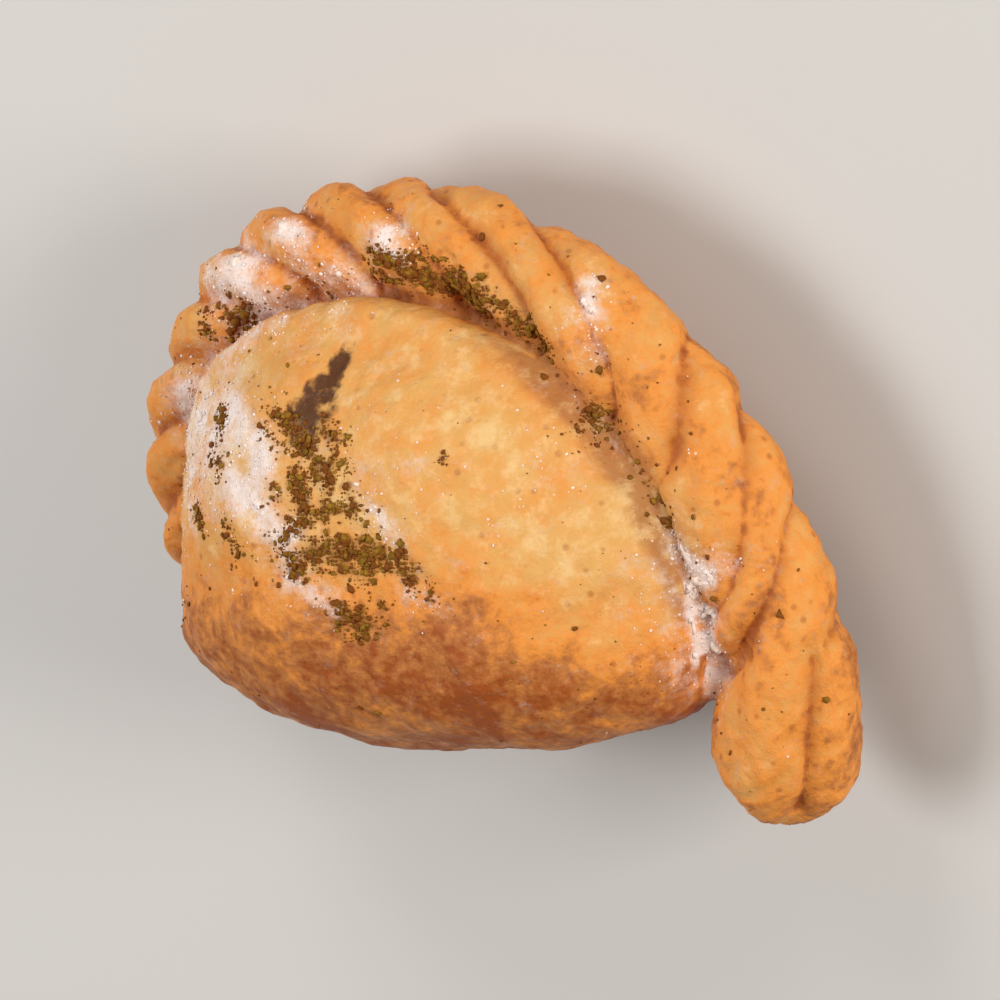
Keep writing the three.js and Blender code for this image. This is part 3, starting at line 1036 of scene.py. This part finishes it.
def noise_node(tree, vector, wavelength, detail=3.0, roughness=0.55, distortion=0.0):
    """Noise of a wavelength in metres, 0 to 1."""
    inputs = {"Vector": vector, "Scale": 1 / wavelength, "Detail": detail}
    inputs.update({"Roughness": roughness, "Distortion": distortion})
    return add_node(tree, "ShaderNodeTexNoise", inputs).outputs["Fac"]


def ramp_node(tree, value, start, end, low=0.0, high=1.0):
    """Smooth step of a value from low at start to high at end."""
    inputs = {"Value": value, "From Min": start, "From Max": end, "To Min": low, "To Max": high}
    return add_node(tree, "ShaderNodeMapRange", inputs, interpolation_type="SMOOTHSTEP").outputs["Result"]


def sum_node(tree, first, second, share):
    """First plus second times a share."""
    inputs = {0: second, 1: share, 2: first}
    return add_node(tree, "ShaderNodeMath", inputs, operation="MULTIPLY_ADD").outputs[0]


def unsettle_node(tree, value, texture, share):
    """A value moved up and down by a texture about its middle, times a share."""
    return sum_node(tree, value, sum_node(tree, -0.5, texture, 1.0), share)


def blend_node(tree, share, first, second):
    """First colour where share is 0 and second where it is 1."""
    inputs = {0: share, 6: first, 7: second}
    return add_node(tree, "ShaderNodeMix", inputs, data_type="RGBA").outputs[2]


def bump_node(tree, height, strength, distance):
    """A normal tipped by a height."""
    inputs = {"Height": height, "Strength": strength, "Distance": distance}
    return add_node(tree, "ShaderNodeBump", inputs).outputs["Normal"]


def attribute_node(tree, name):
    """A field stored in the mesh."""
    return add_node(tree, "ShaderNodeAttribute", {}, attribute_name=name).outputs["Fac"]


def opaque(rgb, share=1.0):
    """Colour with alpha, darkened by a share."""
    return (rgb[0] * share, rgb[1] * share, rgb[2] * share, 1.0)


def new_material(name):
    """A material with an empty node tree but for its shader, and Object coordinates to draw on it."""
    material = bpy.data.materials.new(name)
    material.use_nodes = True
    tree = material.node_tree
    shader = tree.nodes["Principled BSDF"]
    return material, tree, shader, add_node(tree, "ShaderNodeTexCoord", {}).outputs["Object"]


def crust_material(crust):
    """Fried dough: golden to toasted by the stored fields, which carry painted shade as well as browning,
    and by mottling, freckled, with a dry sheen that breaks up where sugar has settled. Each further
    colour is laid on by its mask, which takes hold from one value to another, up to a share; the toasted
    colour in hollows and along creases is painted shade, and the dull colour in the groove is partly
    painted shade."""
    material, tree, shader, place = new_material("fried_crust")
    stored_browning_and_shade, crumbs = attribute_node(tree, "toast"), attribute_node(tree, "crumbs")
    mottle = noise_node(tree, place, 2.6 * MM, detail=5, roughness=0.6, distortion=0.4)
    freckle = noise_node(tree, place, 0.75 * MM, detail=3, roughness=0.6)
    spots = noise_node(tree, place, 1.5 * MM, detail=4, roughness=0.7)
    powder = noise_node(tree, place, 0.34 * MM, detail=4, roughness=0.75)
    patch = noise_node(tree, place, 1.6 * MM, detail=5, roughness=0.65)
    fine = noise_node(tree, place, 0.6 * MM, detail=5, roughness=0.65)
    pores = add_node(tree, "ShaderNodeTexVoronoi", {"Vector": place, "Scale": 1 / (1.7 * MM)})

    # The ramp follows the stored browning, which carries painted shade on the flank and in hollows.
    toast = unsettle_node(tree, unsettle_node(tree, stored_browning_and_shade, mottle, 1.0), freckle, 0.65)
    colours = add_node(tree, "ShaderNodeValToRGB", {"Fac": toast})
    stops = colours.color_ramp.elements
    stops[0].position, stops[0].color = 0.10, opaque(crust.golden)
    stops[1].position, stops[1].color = 0.95, opaque(crust.toasted_and_shade)
    for place_along, rgb in ((0.55, crust.amber), (0.76, crust.russet)):
        stops.new(place_along).color = opaque(rgb)
    colour = colours.outputs["Color"]

    # Partly painted shade: dull brown in the groove beside the rope.
    groove_dull_and_shade = unsettle_node(tree, attribute_node(tree, "groove"), mottle, 1.2)
    pale = sum_node(tree, spots, stored_browning_and_shade, -0.45)
    scar = unsettle_node(tree, attribute_node(tree, "scar"), freckle, 1.4)
    ground = unsettle_node(tree, unsettle_node(tree, crumbs, patch, 0.9), powder, 0.7)
    for mask, start, end, share, rgb in (
        # Painted shade: toasted colour laid in hollows.
        (attribute_node(tree, "hollow"), 0.1, 1.0, 0.42, opaque(crust.toasted_and_shade, 1.1)),
        # Painted shade: dark lines along the creases.
        (attribute_node(tree, "lines"), 0.1, 1.0, 0.55, opaque(crust.toasted_and_shade)),
        (pores.outputs["Distance"], 0.2, 0.06, 0.5, opaque(crust.toasted_and_shade)),
        (groove_dull_and_shade, 0.15, 0.9, 0.72, opaque(crust.groove)),
        (pale, 0.34, 0.64, 0.75, opaque(crust.pale)),
        (scar, 0.2, 0.8, 0.95, opaque(crust.scar)),
        (ground, 0.06, 0.5, 0.74, opaque(crust.stain)),
    ):
        colour = blend_node(tree, ramp_node(tree, mask, start, end, 0, share), colour, rgb)
    dust = unsettle_node(tree, attribute_node(tree, "dust"), patch, 1.4)
    dust = ramp_node(tree, unsettle_node(tree, dust, powder, 0.9), 0.08, 1.1, 0, 0.88)
    gloss = ramp_node(tree, mottle, 0.3, 0.7, 0.42, 0.58)
    fill_inputs(tree, shader, {
        "Base Color": blend_node(tree, dust, colour, opaque(settings("ghotab_toppings").sugar)),
        "Roughness": sum_node(tree, gloss, dust, 0.4),
        "Specular IOR Level": 0.2,
        "Normal": bump_node(tree, sum_node(tree, fine, powder, 0.35), 0.8, 0.2 * MM),
    })
    return material


def sugar_material(toppings):
    """Icing sugar: matt off-white powder, a little warmer in patches, with a granular bump."""
    material, tree, shader, place = new_material("icing_sugar")
    tone = noise_node(tree, place, 0.9 * MM, detail=4, roughness=0.7)
    grain = noise_node(tree, place, 0.2 * MM, detail=3, roughness=0.7)
    warm = opaque([c * s for c, s in zip(toppings.sugar, (0.98, 0.86, 0.74))])
    white = opaque(toppings.sugar, 1.04)
    fill_inputs(tree, shader, {
        "Base Color": blend_node(tree, ramp_node(tree, tone, 0.35, 0.62), warm, white),
        "Roughness": 0.92,
        "Specular IOR Level": 0.2,
        "Normal": bump_node(tree, grain, 0.8, 0.08 * MM),
    })
    return material


def pistachio_material(toppings):
    """Ground pistachio: each crumb has its own green, and some are skin."""
    material, tree, shader, place = new_material("pistachio")
    own = attribute_node(tree, "own_shade")
    tone = noise_node(tree, place, 0.5 * MM, detail=3)
    dark, light = opaque(toppings.kernel, 0.7), opaque(toppings.kernel, 1.5)
    green = blend_node(tree, ramp_node(tree, tone, 0.3, 0.7), dark, light)
    fill_inputs(tree, shader, {
        "Base Color": blend_node(tree, ramp_node(tree, own, 0.3, 0.6), green, opaque(toppings.skin)),
        "Roughness": 0.7,
        "Specular IOR Level": 0.08,
        "Normal": bump_node(tree, tone, 0.5, 0.05 * MM),
    })
    return material


def floor_material(colour):
    """Matt pale board with the faintest unevenness."""
    material, tree, shader, place = new_material("pale_floor")
    tone = noise_node(tree, place, 60 * MM, detail=2)
    shade = blend_node(tree, tone, opaque(colour, 0.985), opaque(colour, 1.015))
    fill_inputs(tree, shader, {"Base Color": shade, "Roughness": 0.9})
    return material


# ---- operators

def made_skin():
    """The crust's mesh, which the toppings lie on."""
    piece = bpy.data.objects.get("pastry_crust")
    if piece is None:
        raise RuntimeError("the crust comes before its toppings")
    return piece.data


class GHOTAB_OT_crust(bpy.types.Operator):
    """Build the fried crust with its pocket, seam and pleats"""

    bl_idname = "ghotab.crust"
    bl_label = "Crust"

    def execute(self, context):
        piece = build_crust(settings("ghotab_shape"), settings("ghotab_crust"))
        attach(piece, BODY)
        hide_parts(NODE)
        return {"FINISHED"}


class GHOTAB_OT_sugar(bpy.types.Operator):
    """Lay icing sugar in drifts and loose grains"""

    bl_idname = "ghotab.sugar"
    bl_label = "Icing sugar"

    def execute(self, context):
        skin = made_skin()
        toppings = settings("ghotab_toppings")
        points, faces = build_sugar_layer(skin, toppings)
        layer = add_object("icing_sugar", mesh_from_arrays("icing_sugar", points, faces))
        layer.data.polygons.foreach_set("use_smooth", np.ones(len(layer.data.polygons), bool))
        rng = np.random.default_rng(SUGAR_SEED)
        weight = np.clip(read_attribute(skin, "dust"), 0, 1) ** 1.5 + STRAY_GRAINS
        sizes = GRAIN_SIZE * rng.lognormal(0, 0.35, toppings.grain_count)
        points, faces = scatter(skin, weight, sizes, rng, uneven=0.25, flatness=0.7, sink=0.3)
        grains = add_object("sugar_grains", mesh_from_arrays("sugar_grains", points, faces))
        material = sugar_material(toppings)
        for piece in (layer, grains):
            piece.data.materials.append(material)
            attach(piece, BODY)
        return {"FINISHED"}


class GHOTAB_OT_pistachio(bpy.types.Operator):
    """Sprinkle ground pistachio"""

    bl_idname = "ghotab.pistachio"
    bl_label = "Ground pistachio"

    def execute(self, context):
        skin = made_skin()
        toppings = settings("ghotab_toppings")
        rng = np.random.default_rng(PISTACHIO_SEED)
        where = read_attribute(skin, "crumbs")
        material = pistachio_material(toppings)
        for name, count, share, weight in (
            ("pistachio_crumbs", toppings.crumb_count, 1.0, where),
            ("pistachio_powder", toppings.powder_count, POWDER_SHARE, where ** 0.8),
        ):
            sizes = toppings.crumb_size * share * np.minimum(rng.lognormal(0, 0.4, count), 1.8)
            points, faces = scatter(skin, weight, sizes, rng, uneven=0.45, flatness=0.55, sink=0.2)
            piece = add_object(name, mesh_from_arrays(name, points, faces))
            shades = np.repeat(rng.uniform(0, 1, count), len(points) // count)
            write_attribute(piece.data, "own_shade", shades)
            piece.data.materials.append(material)
            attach(piece, BODY)
        return {"FINISHED"}


def add_area(name, target, azimuth, elevation, size, power, tint):
    """A square soft light that faces a target from a direction: azimuth from +X towards +Y."""
    level = math.cos(elevation)
    direction = Vector((level * math.cos(azimuth), level * math.sin(azimuth), math.sin(elevation)))
    light = bpy.data.lights.new(name, "AREA")
    light.size = size
    light.energy = power
    light.color = tint
    lamp = bpy.data.objects.new(name, light)
    bpy.context.scene.collection.objects.link(lamp)
    lamp.location = target + LIGHT_DISTANCE * direction
    lamp.rotation_euler = direction.to_track_quat("Z", "Y").to_euler()


class GHOTAB_OT_studio(bpy.types.Operator):
    """Set up the floor, the lights and the camera"""

    bl_idname = "ghotab.studio"
    bl_label = "Studio"

    def execute(self, context):
        studio = settings("ghotab_studio")
        scene = context.scene
        low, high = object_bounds()
        centre = (low + high) / 2
        corners = np.array([(-1, -1, 0), (1, -1, 0), (1, 1, 0), (-1, 1, 0)]) * FLOOR_HALF
        floor = add_object("floor", mesh_from_arrays("floor", corners, np.array([[0, 1, 2, 3]])))
        floor.data.materials.append(floor_material(studio.floor))
        floor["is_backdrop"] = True

        backward = Vector((
            math.sin(studio.tilt) * math.cos(studio.bearing),
            math.sin(studio.tilt) * math.sin(studio.bearing),
            math.cos(studio.tilt),
        ))
        upright = Vector((0, 1, 0))
        upright = (upright - backward * upright.dot(backward)).normalized()
        right = upright.cross(backward)
        turn = math.cos(studio.roll), math.sin(studio.roll)
        axes = (turn[0] * right + turn[1] * upright, turn[0] * upright - turn[1] * right, backward)
        data = bpy.data.cameras.new("camera")
        data.lens = studio.lens
        data.clip_start, data.clip_end = CLIP_NEAR, CLIP_FAR
        camera = bpy.data.objects.new("camera", data)
        scene.collection.objects.link(camera)
        scene.camera = camera
        seen = read_points(made_skin())[0] @ np.array(axes[:2]).T
        width = float(np.ptp(seen, axis=0).max())
        across, up = ((seen.min(axis=0) + seen.max(axis=0)) / 2).tolist()
        aim = across * axes[0] + up * axes[1] + centre.dot(backward) * backward
        distance = width / studio.fill * data.lens / data.sensor_width
        stand = Matrix.Translation(aim + backward * distance)
        camera.matrix_world = stand @ Matrix(axes).transposed().to_4x4()

        for name, azimuth, elevation, size, power, tint in LIGHTS:
            add_area(name, centre, math.radians(azimuth), math.radians(elevation), size, power, tint)
        world = bpy.data.worlds.new("studio")
        world.use_nodes = True
        background = world.node_tree.nodes["Background"]
        background.inputs["Color"].default_value = WORLD_TINT
        background.inputs["Strength"].default_value = WORLD_STRENGTH
        scene.world = world
        scene.view_settings.view_transform = "Standard"
        return {"FINISHED"}


class GHOTAB_PT_panel(bpy.types.Panel):
    """The parts of the pastry in the order that they are made"""

    bl_label = "Ghotab"
    bl_idname = "GHOTAB_PT_panel"
    bl_space_type = "VIEW_3D"
    bl_region_type = "UI"
    bl_category = "Ghotab"

    def draw(self, context):
        for operator in OPERATORS:
            self.layout.operator(operator.bl_idname)
        for name in SETTINGS:
            group = getattr(context.scene, name)
            box = self.layout.box()
            box.label(text=type(group).bl_rna.name)
            for prop in group.bl_rna.properties:
                if prop.identifier not in ("rna_type", "name"):
                    box.prop(group, prop.identifier)


SETTINGS = {
    "ghotab_shape": GhotabShape,
    "ghotab_crust": GhotabCrust,
    "ghotab_toppings": GhotabToppings,
    "ghotab_studio": GhotabStudio,
}
OPERATORS = (GHOTAB_OT_crust, GHOTAB_OT_sugar, GHOTAB_OT_pistachio, GHOTAB_OT_studio)
CLASSES = (*SETTINGS.values(), *OPERATORS, GHOTAB_PT_panel)


def register():
    """Adds the classes and the scene's property groups."""
    for made in CLASSES:
        bpy.utils.register_class(made)
    for name, group in SETTINGS.items():
        setattr(bpy.types.Scene, name, bpy.props.PointerProperty(type=group))


def unregister():
    """Takes away what register added."""
    for name in SETTINGS:
        delattr(bpy.types.Scene, name)
    for made in reversed(CLASSES):
        bpy.utils.unregister_class(made)


def main():
    """Builds the pastry, its toppings and the studio."""
    register()
    bpy.ops.ghotab.crust()
    bpy.ops.ghotab.sugar()
    bpy.ops.ghotab.pistachio()
    bpy.ops.ghotab.studio()


if __name__ == "__main__":
    main()
